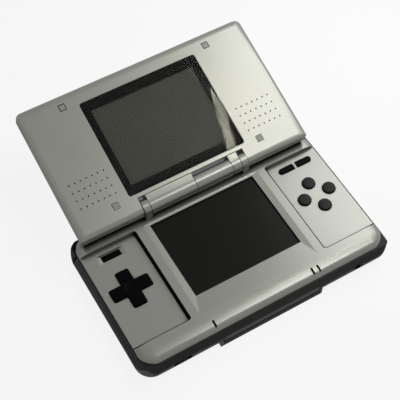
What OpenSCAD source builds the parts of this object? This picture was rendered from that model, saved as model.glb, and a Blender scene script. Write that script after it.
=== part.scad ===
// Clamshell handheld game console with two screens, shown with its lid folded back.
// The origin is under the middle of the base, on the surface that its feet stand on.
// X runs to the right, Y to the hinge at the back, Z up. All sizes are in millimetres.

/* [Base] */
// Width of the base over its dark lower case
base_w = 148.2; // [146:0.1:150]
// Depth of the base over its dark lower case
base_d = 84.7; // [84:0.1:86]
// Height of the split between the lower case and the silver top cover
split_z = 13; // [12.9:0.05:13.2]
// Height of the two control panels
panel_z = 13.8; // [13.7:0.05:14]
// Height of the raised middle, front lip and back strip
ridge_z = 16.7; // [16.5:0.05:16.9]
// Height of the screen bezel's inner edge
bezel_z = 16.35; // [16.2:0.05:16.5]
// Half width of the raised middle
middle_x = 39.25; // [39:0.05:39.5]
// Front edge of the control panels
panel_y0 = -28.65; // [-29:0.05:-28.4]
// Back edge of the control panels
panel_y1 = 29.8; // [29.6:0.05:30]
// Radius of the roll around the silver top cover's upper edge
lip_roll = 4; // [3.6:0.1:4.4]
// Underside of the main floor above the feet
floor_z = 1; // [0.8:0.05:1.2]
// Thickness of the floor
floor_t = 1.6; // [1.4:0.1:1.7]

/* [Lid] */
// Width of the lid
lid_w = 137.2; // [135:0.1:139]
// Distance from the hinge axis to the lid's far edge
lid_reach = 74.1; // [73:0.1:75]
// Thickness of the lid
lid_t = 11.4; // [11:0.1:11.6]
// Angle of the lid above the table when it is folded back
lid_tilt = 16.65; // [10:0.05:20]
// Thickness of the lid's inner cover, down to the split
inner_t = 4; // [3.9:0.05:4.2]
// Depth below the lid's inner face at which the lid is widest
lid_edge_depth = 2; // [1.8:0.1:2.2]

/* [Hinge] */
// Distance of the hinge axis behind the middle of the base
hinge_y = 36.5; // [36.3:0.05:36.7]
// Height of the hinge axis
hinge_z = 21.4; // [21.3:0.05:21.6]
// Distance from the lid's inner face to the hinge axis
axis_depth = 3.9; // [3.8:0.05:4]
// Radius of the hinge barrels
barrel_r = 4.55; // [4.4:0.05:4.6]
// Radius of the bores for the hinge pins
hinge_bore_r = 2; // [1.8:0.05:2.2]
// Running clearance around the pins, on the radius
running_gap = 0.05; // [0.02:0.01:0.08]
// Half width of the notch in the lid's back edge
notch_x = 31.7; // [31.5:0.05:32]

/* [Screens] */
// Width of the picture on each display
picture_w = 61.44; // [60:0.01:62]
// Height of the picture on each display
picture_h = 46.08; // [45:0.01:47]
// Half width of the upper window
window_x = 34.97; // [34.5:0.01:35.2]
// Near edge of the upper window, from the hinge axis
window_y0 = 7.7; // [7.6:0.05:7.9]
// Far edge of the upper window, from the hinge axis
window_y1 = 65.07; // [64.8:0.01:65.4]

/* [Controls] */
// Middle of the direction pad
dpad_at = [-56.4, 2.6];
// Length of the direction pad's cross
dpad_span = 21.6; // [21:0.1:22.5]
// Width of one arm of the cross
dpad_arm = 7; // [6.8:0.1:7.4]
// Middle of the four face buttons
face_at = [55.9, 2.85];
// Distance of the left and right face buttons from the middle
face_dx = 7.75; // [7.4:0.05:8]
// Distance of the front and back face buttons from the middle
face_dy = 7.85; // [7.7:0.05:8.2]
// Radius of a face button
face_r = 3.55; // [3.4:0.05:3.8]
// Travel of a push button
button_travel = 0.8; // [0.6:0.05:0.85]

/* [Hidden] */
$fn = 48;

silver = "#b9bab2";
charcoal = "#303033";
black = "#141416";
steel = "#a8adb2";
far = 200;          // reach of a cutting block, past every side of the part
fit = 0.1;          // gap around a piece that is set into another
slide_gap = 0.3;    // gap around a piece that moves

// Outline of the silver top cover
cover_w = base_w - 5.4;
cover_y0 = -39.9;
cover_y1 = 41.3;
cover_d = cover_y1 - cover_y0;
cover_z0 = split_z + 0.05;
crown_r = 22;       // wide arc by which the top leads into the roll
corner_r = 9;
cover_r = corner_r - 0.8;

// The dark lower case
case_belly_z = 9;       // height at which the case is widest
case_lean_x = 2.45;     // how far the sides lean in at the split
case_lean_back = 0.7;
case_lean_front = 1.8;
case_foot_r = 6;        // radius of the case's lower edge
case_wall_x = 4.2;
case_wall_y = 2.7;

// Cartridge slot in the front
slot_x = 28.6;
slot_z0 = 1.5;
slot_z1 = 9;
slot_y1 = -8;
bulge_x = 30.3;
bulge_y1 = 3;

// Game card slot in the back
card_x = 17.1;
card_z0 = 3.15;
card_z1 = 7.75;
card_y0 = 6;

// Circuit board and what stands on it
board_z = 8.6;
board_t = 1;
board_top = board_z + board_t;
sheet_z = board_top + 0.02;
panel_t = 1.4;
panel_under = panel_z - panel_t;

// Control panels
groove_w = 1.25;
groove_z = 13.15;
flange_t = 0.7;
panel_corner_r = 1.5;
option_y = 24.1;
select_x = 50.4;
start_x = 61.35;
option_w = 9;
option_r = 1.65;
power_at = [-56.2, 24.45];
power_size = [10.1, 3.2];
power_scoop_w = 15;

// Shoulder buttons
shoulder_x0 = 52;
shoulder_y0 = 33.5;
shoulder_z0 = 6.2;
shoulder_z1 = 12.5;
shoulder_pivot = [53.6, 37.2];
shoulder_pin_r = 0.9;

// Stylus channel
stylus_x = 36.3;
stylus_z = 11.85;
stylus_r = 2;
stylus_y0 = -32;
stylus_y1 = 43.1;

// Screws
case_screw_at = [[-66, -34.5], [66, -34.5], [-66, 29.6], [66, 29.6]];
screw_r = 0.95;
lid_pad_x = 43.5;
lid_pad_y = [6.55, 67.05];
pad_w = 3.4;

// Stations along the hinge
ear_x0 = 27.6;
ear_x1 = 31.3;
left_knuckle = [-27.3, 0];
right_knuckle = [22.2, 27.3];
middle_barrel = [0.3, 21.9];
flat_h = 0.3;       // how far the knuckles' flats stand above the lid's face
flat_y = 5.2;

// Speaker grilles
grille_x = 40.26;
grille_y = 12.92;
grille_dx = 3.3;
grille_dy = 4.6;
grille_cols = 7;
grille_rows = 4;
grille_hole_r = 0.42;
speaker_at = [grille_x + grille_dx * (grille_cols - 1) / 2,
    grille_y + grille_dy * (grille_rows - 1) / 2];

// ---- shared shapes ----

// A flat rectangle about the origin with round corners
module round_rect(w, d, r) {
    square([w - 2 * r, d], center = true);
    square([w, d - 2 * r], center = true);
    for (sx = [-1, 1], sy = [-1, 1])
        translate([sx * (w / 2 - r), sy * (d / 2 - r)]) circle(r = r);
}

// A block given by its low and high corners
module block(low, high) {
    translate(low) cube(high - low);
}

// A cylinder along X from one station to the next
module rod_x(x0, x1, r, y, z) {
    translate([x0, y, z]) rotate([0, 90, 0]) cylinder(r = r, h = x1 - x0);
}

// Turns a drawing in the YZ plane into a bar along X
module along_x(length) {
    translate([-length / 2, 0, 0])
        rotate([90, 0, 90]) linear_extrude(length) children();
}

// Turns a drawing in the XZ plane into a bar along Y
module along_y(length) {
    translate([0, length / 2, 0])
        rotate([90, 0, 0]) linear_extrude(length) children();
}

// Places a shape drawn on the lid's inner face: y from the hinge axis, z out of the face
module on_lid() {
    translate([0, hinge_y, hinge_z]) rotate([lid_tilt, 0, 0])
        translate([0, 0, axis_depth]) children();
}

module mirrored_x() {
    children();
    mirror([1, 0, 0]) children();
}

// ---- base ----

// Quarter disc that rounds the case's lower edge, for a side at the given distance
module edge_quarter(side) {
    translate([side - case_foot_r, floor_z]) intersection() {
        translate([0, case_foot_r]) circle(r = case_foot_r);
        square(case_foot_r);
    }
}

// Block with round corners in plan and its lower edge rounded all the way around
module case_block() {
    x = base_w / 2 - corner_r;
    y = base_d / 2 - corner_r;
    roll_z = floor_z + case_foot_r;
    translate([0, 0, roll_z])
        linear_extrude(split_z - roll_z) round_rect(base_w, base_d, corner_r);
    translate([0, 0, floor_z]) linear_extrude(case_foot_r)
        round_rect(base_w - 2 * case_foot_r, base_d - 2 * case_foot_r, corner_r - case_foot_r);
    for (sx = [-1, 1], sy = [-1, 1])
        translate([sx * x, sy * y, 0]) rotate_extrude() edge_quarter(corner_r);
    for (s = [0, 1]) mirror([0, s, 0]) along_x(2 * x) edge_quarter(base_d / 2);
    for (s = [0, 1]) mirror([s, 0, 0]) along_y(2 * y) edge_quarter(base_w / 2);
}

// Outline of the case from the belly up, leaning in to the split
module lean_profile(half, lean0, lean1) {
    polygon([[half, 0], [half, case_belly_z], [half - lean1, split_z],
        [-half + lean0, split_z], [-half, case_belly_z], [-half, 0]]);
}

module case_form() {
    intersection() {
        case_block();
        along_x(far) lean_profile(base_d / 2, case_lean_front, case_lean_back);
        along_y(far) lean_profile(base_w / 2, case_lean_x, case_lean_x);
    }
}

// Room that a shoulder button moves in, on the right
module shoulder_bay() {
    block([shoulder_x0 - 0.8, shoulder_y0 - 1.1, shoulder_z0 - 0.4],
        [far, far, split_z + 1]);
}

module lower_case() {
    wall_w = base_w - 2 * case_wall_x;
    wall_d = base_d - 2 * case_wall_y;
    color(charcoal) {
        difference() {
            union() {
                case_form();
                block([-bulge_x, -base_d / 2, 0], [bulge_x, bulge_y1, floor_z + 1]);
                block([-bulge_x, -base_d / 2, 0], [bulge_x, -base_d / 2 + 8, floor_z + case_foot_r]);
            }
            translate([0, 0, floor_z + floor_t])
                linear_extrude(split_z) round_rect(wall_w, wall_d, corner_r - 3);
            // cartridge slot, card slot and stylus hole
            block([-slot_x, -far, slot_z0], [slot_x, slot_y1, floor_z + floor_t + 0.1]);
            block([-slot_x, -far, slot_z0], [slot_x, -base_d / 2 + 4, slot_z1]);
            block([-card_x, card_y0, card_z0], [card_x, far, card_z1]);
            translate([stylus_x, 0, stylus_z]) rotate([-90, 0, 0])
                cylinder(r = stylus_r + slide_gap, h = far);
            // battery opening, and the ledge that its cover's tongue is screwed to
            block([battery_x0 - 1, battery_y0 - 1, -1],
                [battery_x1 + 1, battery_y1 + 1, floor_z + floor_t + 1]);
            block([tongue_x - tongue_w / 2, 0, -1], [tongue_x + tongue_w / 2, tongue_y1, tongue_z]);
            // headphone jack, charging port and volume slider
            translate([jack_x, 0, jack_z]) rotate([90, 0, 0])
                cylinder(r = jack_collar_r + fit, h = far);
            block([port_x - port_w / 2 - fit, 0, port_z - port_h / 2 - fit],
                [port_x + port_w / 2 + fit, far, port_z + port_h / 2 + fit]);
            block([slider_x - 5, -far, slider_z - 1.4], [slider_x + 5, 0, slider_z + 1.4]);
            mirrored_x() shoulder_bay();
            for (p = case_screw_at) translate([p[0], p[1], 0]) {
                cylinder(r = 2.2, h = 2);
                cylinder(r = screw_r + 0.3, h = 5);
            }
            for (p = foot_at) translate([p[0], p[1], 0])
                cylinder(r = foot_r + fit, h = foot_seat_z);
            translate([tongue_x, tongue_screw_y, 0]) cylinder(r = screw_r, h = 5);
        }
        // posts for the shoulder buttons' pins
        mirrored_x() translate([shoulder_pivot[0], shoulder_pivot[1], 0]) difference() {
            translate([0, 0, floor_z + 1]) cylinder(r = 2.1, h = shoulder_z0 - floor_z - 1.4);
            translate([0, 0, 3]) cylinder(r = shoulder_pin_r, h = 10);
        }
    }
}

foot_at = [[-60, -29], [60, -29], [-56, 32], [56, 32]];
foot_r = 3;
foot_seat_z = 1.6;

module rubber_feet() {
    color(black) for (p = foot_at) translate([p[0], p[1], 0]) {
        cylinder(r1 = foot_r - 0.4, r2 = foot_r, h = 0.4);
        translate([0, 0, 0.4]) cylinder(r = foot_r, h = foot_seat_z - 0.4);
    }
}

battery_x0 = 32.6;
battery_x1 = 61.6;
battery_y0 = -24;
battery_y1 = 25.4;
battery_z0 = 2.8;
battery_z1 = 8.3;
tongue_x = (battery_x0 + battery_x1) / 2;
tongue_w = 12;
tongue_y1 = battery_y1 + 6;
tongue_z = floor_z + 0.9;
tongue_screw_y = battery_y1 + 3.4;

module battery() {
    color("#3a3a3a") difference() {
        translate([(battery_x0 + battery_x1) / 2, (battery_y0 + battery_y1) / 2, battery_z0])
            linear_extrude(battery_z1 - battery_z0)
            round_rect(battery_x1 - battery_x0, battery_y1 - battery_y0, 1.5);
        for (k = [-1, 0, 1])
            translate([(battery_x0 + battery_x1) / 2 + 3.5 * k, battery_y1, battery_z0 + 2])
                cube([1.6, 1.6, 3], center = true);
    }
}

module battery_cover() {
    color(charcoal) difference() {
        union() {
            block([battery_x0 - 1 + fit, battery_y0 - 1 + fit, floor_z],
                [battery_x1 + 1 - fit, battery_y1 + 1 - fit, floor_z + floor_t]);
            block([tongue_x - tongue_w / 2 + fit, 0, floor_z],
                [tongue_x + tongue_w / 2 - fit, tongue_y1 - fit, tongue_z - 0.05]);
        }
        translate([tongue_x, tongue_screw_y, 0]) cylinder(r = screw_r + 0.2, h = 5);
        for (k = [0:4])
            block([tongue_x - 6, battery_y0 + 3 + 1.6 * k, floor_z - 0.1],
                [tongue_x + 6, battery_y0 + 3.8 + 1.6 * k, floor_z + 0.4]);
    }
}

module battery_cover_screw() {
    color(steel) translate([tongue_x, tongue_screw_y, floor_z - 0.5]) {
        cylinder(r = 1.8, h = 0.48);
        translate([0, 0, 0.48]) cylinder(r = screw_r, h = 3.3);
    }
}

module case_screws() {
    color(steel) for (p = case_screw_at) translate([p[0], p[1], 1.15]) difference() {
        union() {
            cylinder(r = 1.9, h = 0.84);
            translate([0, 0, 0.84]) cylinder(r = screw_r, h = 8);
        }
        for (a = [0, 90]) rotate([0, 0, a]) cube([2.2, 0.5, 0.8], center = true);
    }
}

// Sheet bracket that guides a cartridge and carries its contacts
module cartridge_guide() {
    color(black) {
        difference() {
            block([-slot_x - 1.6, -base_d / 2 + 4.1, floor_z + floor_t + 0.02],
                [slot_x + 1.6, slot_y1 + 3, slot_z1 + 0.6]);
            block([-slot_x, -far, -1], [slot_x, slot_y1, slot_z1]);
        }
    }
    color("gold") for (k = [-15:15])
        block([1.5 * k - 0.3, slot_y1 - 0.8, 4], [1.5 * k + 0.3, slot_y1 + 0.1, 4.5]);
}

// Blank cartridge that keeps dust out of the front slot
module slot_cover() {
    gap = 0.25;
    x = slot_x - gap;
    front = -base_d / 2 + 0.15;
    color(charcoal) difference() {
        block([-x, front, slot_z0 + gap], [x, slot_y1 - 1.2, slot_z1 - gap]);
        block([-x + 1.5, front + 3, slot_z0 + gap + 1.4], [x - 1.5, far, slot_z1 - gap - 1.4]);
        block([-far, front - 1, slot_z0 + 1.7], [far, front + 1.3, slot_z0 + 2.9]);
    }
}

// Steel cage of the game card slot
module card_cage() {
    color(steel) difference() {
        block([-card_x - 1, card_y0 - 2, floor_z + floor_t + 0.02],
            [card_x + 1, base_d / 2 - case_wall_y - fit, board_z - 0.1]);
        block([-card_x, card_y0, card_z0 - 0.05], [card_x, far, card_z1 + 0.05]);
    }
}

module main_board() {
    color("#1f5a38") difference() {
        block([-67, -36, board_z], [67, 33.3, board_top]);
        block([-slot_x - 2, -far, 0], [slot_x + 2, slot_y1 + 3.4, far]);
        block([jack_x - 5.2, -far, 0], [jack_x + 5.2, -26, far]);
        for (p = case_screw_at) translate([p[0], p[1], 0]) cylinder(r = 3.2, h = 20);
    }
    // processor, memory and shields on the underside
    color("#26282a") {
        block([-14, -3.5, board_z - 1.2], [14, 3, board_z]);
        block([-62, -20, board_z - 1.6], [-40, 4, board_z]);
        block([-58, 10, board_z - 2], [-30, 28, board_z]);
    }
}

jack_x = 52;
jack_z = 7.2;
jack_bore_r = 1.8;
jack_collar_r = 3;

module headphone_jack() {
    color(black) translate([jack_x, 0, jack_z]) difference() {
        union() {
            block([-4.5, -base_d / 2 + case_wall_y + fit, -3.4], [4.5, -26.6, 3.4]);
            intersection() {
                translate([0, -base_d / 2 + case_wall_y + 1, 0]) rotate([90, 0, 0])
                    cylinder(r = jack_collar_r, h = case_wall_y + 1);
                rod_x(-4, 4, case_foot_r - fit, -base_d / 2 + case_foot_r,
                    floor_z + case_foot_r - jack_z);
            }
        }
        translate([0, -28, 0]) rotate([90, 0, 0]) cylinder(r = jack_bore_r, h = far);
    }
}

port_x = -34;
port_z = 7;
port_w = 10;
port_h = 4;

module charge_port() {
    color(black) difference() {
        block([port_x - port_w / 2, 33.6, port_z - port_h / 2],
            [port_x + port_w / 2, base_d / 2 - 0.2, port_z + port_h / 2]);
        block([port_x - port_w / 2 + 0.9, 36, port_z - 1.1],
            [port_x + port_w / 2 - 0.9, far, port_z + 1.1]);
    }
    color("gold") block([port_x - 3, 35.9, port_z - 0.3], [port_x + 3, 41, port_z + 0.3]);
}

slider_x = -52;
slider_z = 7.4;

module volume_slider() {
    front = -base_d / 2 - 0.1;
    inner = -base_d / 2 + case_wall_y;
    color(black) {
        block([slider_x - 2.2, front, slider_z - 1.1], [slider_x + 2.2, inner + 0.3, slider_z + 1.1]);
        block([slider_x - 4, inner + 0.3, slider_z - 1.8], [slider_x + 4, inner + 1.1, slider_z + 1.8]);
        for (k = [-1, 0, 1])
            block([slider_x + 1.2 * k - 0.25, front - 0.2, slider_z - 1.1],
                [slider_x + 1.2 * k + 0.25, front, slider_z + 1.1]);
    }
}

module power_switch() {
    color(steel) block([power_at[0] - 3, power_at[1] - 1.6, sheet_z],
        [power_at[0] + 3, power_at[1] + 1.6, sheet_z + 0.7]);
    color(black) translate([power_at[0], power_at[1], sheet_z + 0.7]) cylinder(r = 0.8, h = 0.2);
}

// A rubber sheet with a dome at each listed place
module membrane(center, size, domes, dome_r, sheet_t, dome_h) {
    color("#8c8c88") translate([center[0], center[1], sheet_z]) {
        linear_extrude(sheet_t) round_rect(size[0], size[1], 1.5);
        for (p = domes) translate([p[0], p[1], sheet_t])
            cylinder(r1 = dome_r, r2 = dome_r - 0.4, h = dome_h);
    }
}

module dpad_membrane() {
    membrane(dpad_at, [25, 25], [for (a = [0:90:270]) 8 * [cos(a), sin(a)]], 1.5, 0.36, 0.4);
}

function face_places() = [[0, face_dy], [face_dx, 0], [0, -face_dy], [-face_dx, 0]];

module face_membrane() {
    membrane(face_at, [26, 27], face_places(), 2.6, 0.6, 0.5);
}

module option_membrane() {
    middle = (select_x + start_x) / 2;
    membrane([middle, option_y], [23, 4.6], [[select_x - middle, 0], [start_x - middle, 0]],
        1.6, 0.6, 0.5);
}

lcd_x = 33.2;
lower_lcd_y0 = -20.4;
lower_lcd_y1 = 30.6;
touch_z = 14.65;

module lower_lcd_tray() {
    color(steel) difference() {
        block([-lcd_x - 0.7, lower_lcd_y0 - 0.7, 11.2], [lcd_x + 0.7, lower_lcd_y1 + 0.7, 13.2]);
        block([-lcd_x - fit, lower_lcd_y0 - fit, 11.7], [lcd_x + fit, lower_lcd_y1 + fit, far]);
    }
}

module lower_lcd() {
    color("#20221e") difference() {
        block([-lcd_x, lower_lcd_y0, 11.72], [lcd_x, lower_lcd_y1, touch_z - 0.05]);
        translate([-picture_w / 2, (bezel_y0 + bezel_y1 - picture_h) / 2, touch_z - 0.25])
            cube([picture_w, picture_h, 1]);
    }
}

module touch_panel() {
    color("#2a2c28", 0.6)
        block([-lcd_x, lower_lcd_y0, touch_z], [lcd_x, lower_lcd_y1, touch_z + 0.4]);
}

// ---- silver top cover ----

// Edge of the cover above the split, for a side at the given distance: the top falls along
// a wide arc into the roll, whose circle touches that arc from inside
module cover_edge(side) {
    start = side - cover_r;
    run = cover_r - lip_roll;
    arc_z = ridge_z - crown_r;
    roll_z = arc_z + sqrt(pow(crown_r - lip_roll, 2) - run * run);
    meet = start + run * crown_r / (crown_r - lip_roll);
    intersection() {
        translate([start, arc_z]) circle(r = crown_r);
        translate([start, cover_z0]) square([meet - start, ridge_z - cover_z0]);
    }
    intersection() {
        translate([start + run, roll_z]) circle(r = lip_roll);
        translate([start + run, cover_z0]) square([lip_roll, lip_roll]);
    }
}

// Block with round corners in plan and the same edge all the way around
module cover_form() {
    x = cover_w / 2 - cover_r;
    y = cover_d / 2 - cover_r;
    translate([0, (cover_y0 + cover_y1) / 2, 0]) {
        block([-x, -y, cover_z0], [x, y, ridge_z]);
        for (sx = [-1, 1], sy = [-1, 1])
            translate([sx * x, sy * y, 0]) rotate_extrude() cover_edge(cover_r);
        for (s = [0, 1]) mirror([0, s, 0]) along_x(2 * x) cover_edge(cover_d / 2);
        for (s = [0, 1]) mirror([s, 0, 0]) along_y(2 * y) cover_edge(cover_w / 2);
    }
}

bezel_x = 31.25;
bezel_y0 = -18.73;
bezel_y1 = 28.65;
bevel_x = 34.8;
bevel_y0 = -28.45;
bevel_y1 = 29.9;

// Shallow bevel around the lower screen and the opening in it
module bezel_cut() {
    hull() {
        block([-bevel_x, bevel_y0, ridge_z], [bevel_x, bevel_y1, ridge_z + 0.01]);
        block([-bezel_x, bezel_y0, bezel_z], [bezel_x, bezel_y1, ridge_z + 0.01]);
    }
    block([-bezel_x, bezel_y0, 0], [bezel_x, bezel_y1, far]);
}

module cross(span, arm) {
    round_rect(span, arm, 1.2);
    round_rect(arm, span, 1.2);
}

module pill(w, r, round_end) {
    translate([round_end * (w / 2 - r), 0]) circle(r = r);
    translate([-round_end * r / 2, 0]) square([w - r, 2 * r], center = true);
}

// Outline of the right control panel, open to the side
module panel_plan() {
    translate([middle_x + far / 2, (panel_y0 + panel_y1) / 2])
        round_rect(far, panel_y1 - panel_y0, panel_corner_r);
}

// Pocket with sloping ends around the power button
module power_scoop() {
    x = power_scoop_w / 2;
    depth = 0.7;
    translate([power_at[0], power_at[1] + power_size[1] / 2 + 0.9, panel_z])
        rotate([90, 0, 0]) linear_extrude(power_size[1] + 1.8)
        polygon([[-x, 0.01], [-x + 2.2, -depth], [x - 2.2, -depth], [x, 0.01]]);
}

mic_at = [-30.9, -36.3];
led_at = [[27, -36.05], [30.6, -36.05]];
led_size = [1.2, 3.9];

module top_cover() {
    roof = ridge_z - 1.6;
    color(silver) difference() {
        union() {
            cover_form();
            translate([0, 0, panel_under])
                linear_extrude(split_z - panel_under + 0.1)
                round_rect(base_w - 2 * case_wall_x - 0.4, base_d - 2 * case_wall_y - 0.4, corner_r - 3.2);
            // hinge ears and middle barrel with their feet
            mirrored_x() {
                rod_x(ear_x0, ear_x1, barrel_r, hinge_y, hinge_z);
                block([ear_x0, hinge_y - barrel_r, ridge_z - 1.4],
                    [ear_x1, hinge_y + barrel_r - 0.5, hinge_z]);
            }
            rod_x(middle_barrel[0], middle_barrel[1], barrel_r, hinge_y, hinge_z);
            block([middle_barrel[0], hinge_y - 3.2, ridge_z - 1.4],
                [middle_barrel[1], hinge_y + 3.2, hinge_z]);
            for (p = case_screw_at) translate([p[0], p[1], 5]) cylinder(r = 2.5, h = 8.2);
        }
        // control panels and the groove along the raised middle
        mirrored_x() {
            translate([0, 0, panel_z]) linear_extrude(far) panel_plan();
            translate([0, 0, groove_z]) linear_extrude(far) intersection() {
                panel_plan();
                translate([middle_x, panel_y0]) square([groove_w, panel_y1 - panel_y0]);
            }
            shoulder_bay_top();
        }
        bezel_cut();
        // trough that the lid's back edge and knuckles turn in
        difference() {
            union() {
                rod_x(-far / 2, far / 2, barrel_r + 0.35, hinge_y, hinge_z);
                rod_x(-ear_x1 - 0.3, ear_x1 + 0.3, barrel_r + 0.8, hinge_y, hinge_z);
            }
            mirrored_x() block([ear_x0, 0, 0], [ear_x1, far, far]);
            block([middle_barrel[0], 0, 0], [middle_barrel[1], far, far]);
        }
        rod_x(-far / 2, far / 2, hinge_bore_r, hinge_y, hinge_z);
        rod_x(sleeve_x0 - fit, middle_barrel[1] + 0.01, sleeve_r + 0.02, hinge_y, hinge_z);
        // hollow under the raised middle, the front lip and the back strip
        block([-37.3, -37.3, 0], [38.55, 31.6, roof]);
        block([-65, -37.3, 0], [65, panel_y0 - 1.4, roof - 0.7]);
        mirrored_x() block([38, panel_y1 + 1.4, 0], [65, 33, roof - 0.7]);
        translate([stylus_x, 0, stylus_z]) rotate([-90, 0, 0])
            cylinder(r = stylus_r + slide_gap, h = far);
        // openings for the controls
        translate([dpad_at[0], dpad_at[1], 0])
            linear_extrude(far) cross(dpad_span + 0.8, dpad_arm + 0.8);
        for (p = face_places()) translate([face_at[0] + p[0], face_at[1] + p[1], 0])
            cylinder(r = face_r + 0.25, h = far);
        translate([select_x, option_y, 0])
            linear_extrude(far) pill(option_w + 0.5, option_r + 0.25, -1);
        translate([start_x, option_y, 0])
            linear_extrude(far) pill(option_w + 0.5, option_r + 0.25, 1);
        power_scoop();
        translate([power_at[0], power_at[1], 0])
            linear_extrude(far) square([power_size[0] + 0.5, power_size[1] + 0.5], center = true);
        for (p = concat([mic_at], led_at)) translate([p[0], p[1], 0])
            linear_extrude(far) round_rect(led_size[0], led_size[1], 0.4);
        for (p = case_screw_at) translate([p[0], p[1], 0]) cylinder(r = screw_r + 0.02, h = 11);
    }
}

// The shoulder buttons' pins need room up to the cover's underside
module shoulder_bay_top() {
    block([shoulder_x0 - 0.8, shoulder_y0 - 1.1, 0], [far, far, split_z + 0.04]);
}

module microphone() {
    color(black) {
        translate([mic_at[0], mic_at[1] + 1.2, 11.5]) cylinder(r = 2, h = 2.2);
        translate([mic_at[0], mic_at[1], 13.7])
            linear_extrude(1.6) round_rect(led_size[0] - fit, led_size[1] - fit, 0.3);
    }
}

module light_pipes() {
    color("#20281c") {
        for (p = led_at) translate([p[0], p[1], 12.5])
            linear_extrude(2.8) round_rect(led_size[0] - fit, led_size[1] - fit, 0.3);
        block([led_at[0][0] - 1, led_at[0][1] - 1, 12], [led_at[1][0] + 1, led_at[0][1] + 1.6, 12.6]);
    }
}

// ---- controls ----

dpad_top = 15.1;
dpad_flange_z = 11;

// Round post under the cross, on which it rocks both ways
module dpad_post() {
    color(black) translate([dpad_at[0], dpad_at[1], 10.35]) {
        cylinder(r = 1.1, h = 1.2);
        translate([0, 0, 1.2]) sphere(r = 1.1);
    }
}

module dpad() {
    color(black) translate([dpad_at[0], dpad_at[1], 0]) difference() {
        union() {
            translate([0, 0, dpad_flange_z + 0.5])
                linear_extrude(dpad_top - dpad_flange_z - 0.5) cross(dpad_span, dpad_arm);
            translate([0, 0, dpad_flange_z]) linear_extrude(0.6) cross(dpad_span + 1.6, dpad_arm + 1.8);
        }
        // dished middle and rounded arm ends
        translate([0, 0, dpad_top + 14.6]) sphere(r = 15);
        for (a = [0:90:270]) rotate([0, 0, a]) translate([dpad_span / 2 - 1.4, -10, dpad_top - 1.4])
            difference() {
                cube([5, 20, 5]);
                rotate([-90, 0, 0]) cylinder(r = 1.4, h = 20);
            }
        // socket for the post
        cylinder(r = 1.1 + fit, h = 11.55);
        translate([0, 0, 11.55]) sphere(r = 1.1 + fit);
    }
}

// One round face button: domed cap, and a flange under the panel
module face_button(place) {
    top = 15.2;
    dome_r = 20;
    color(black) translate([face_at[0] + place[0], face_at[1] + place[1], 0]) {
        intersection() {
            translate([0, 0, panel_under - flange_t - 0.1]) cylinder(r = face_r, h = 6);
            translate([0, 0, top - dome_r]) sphere(r = dome_r);
        }
        translate([0, 0, panel_under - flange_t - 0.1]) cylinder(r = face_r + 0.8, h = flange_t);
    }
}

module face_button_back() { face_button(face_places()[0]); }
module face_button_right() { face_button(face_places()[1]); }
module face_button_front() { face_button(face_places()[2]); }
module face_button_left() { face_button(face_places()[3]); }

// Select and start: pills with one round end
module option_button(x, round_end) {
    color(black) translate([x, option_y, panel_under - flange_t - 0.1]) {
        linear_extrude(14.6 - panel_under + flange_t + 0.1) pill(option_w, option_r, round_end);
        linear_extrude(flange_t) round_rect(option_w + 0.9, 2 * option_r + 1, 0.8);
    }
}

module select_button() { option_button(select_x, -1); }
module start_button() { option_button(start_x, 1); }

module power_button() {
    color(black) translate([power_at[0], power_at[1], panel_under - flange_t - 0.1]) {
        linear_extrude(13.65 - panel_under + flange_t + 0.1) square(power_size, center = true);
        linear_extrude(flange_t) square(power_size + [1.4, 1.4], center = true);
    }
}

module shoulder_pin() {
    color(steel) translate([shoulder_pivot[0], shoulder_pivot[1], 3])
        cylinder(r = shoulder_pin_r, h = shoulder_z1 - 3.1);
}

module shoulder_pin_right() { shoulder_pin(); }
module shoulder_pin_left() { mirror([1, 0, 0]) shoulder_pin(); }

// Shoulder button: the case's own corner, hollow, turning on a pin at its inner end
module shoulder_button() {
    color(black) difference() {
        union() {
            intersection() {
                case_form();
                block([shoulder_x0, shoulder_y0, shoulder_z0], [far, far, shoulder_z1]);
                difference() {
                    block([0, 0, 0], [far, far, far]);
                    block([0, 0, -1], [70.6, 38.9, far]);
                }
            }
            translate([shoulder_pivot[0], shoulder_pivot[1], shoulder_z0])
                cylinder(r = 1.9, h = shoulder_z1 - shoulder_z0);
        }
        translate([shoulder_pivot[0], shoulder_pivot[1], 0])
            cylinder(r = shoulder_pin_r + running_gap, h = 20);
    }
}

module shoulder_button_right() { shoulder_button(); }
module shoulder_button_left() { mirror([1, 0, 0]) shoulder_button(); }

module stylus() {
    color(black) translate([stylus_x, 0, stylus_z]) {
        translate([0, stylus_y0 + 6, 0]) rotate([-90, 0, 0])
            cylinder(r = stylus_r, h = stylus_y1 - stylus_y0 - 6);
        translate([0, stylus_y0 + 1, 0]) rotate([-90, 0, 0])
            cylinder(r1 = 0.8, r2 = stylus_r, h = 5);
        translate([0, stylus_y0 + 1, 0]) sphere(r = 0.8);
    }
}

// ---- hinge ----

sleeve_r = 3.1;
sleeve_x0 = 6;

// Steel sleeve of the click mechanism, pressed into the middle barrel
module hinge_sleeve() {
    color(steel) difference() {
        rod_x(sleeve_x0, middle_barrel[1] - 0.1, sleeve_r, hinge_y, hinge_z);
        rod_x(0, 30, hinge_bore_r, hinge_y, hinge_z);
    }
}

module hinge_pin_left() {
    color(steel) rod_x(-ear_x1 + 0.3, -18, hinge_bore_r - running_gap, hinge_y, hinge_z);
}

module hinge_pin_right() {
    color(steel) rod_x(-7, ear_x1 - 0.3, hinge_bore_r - running_gap, hinge_y, hinge_z);
}

// ---- lid ----

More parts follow.
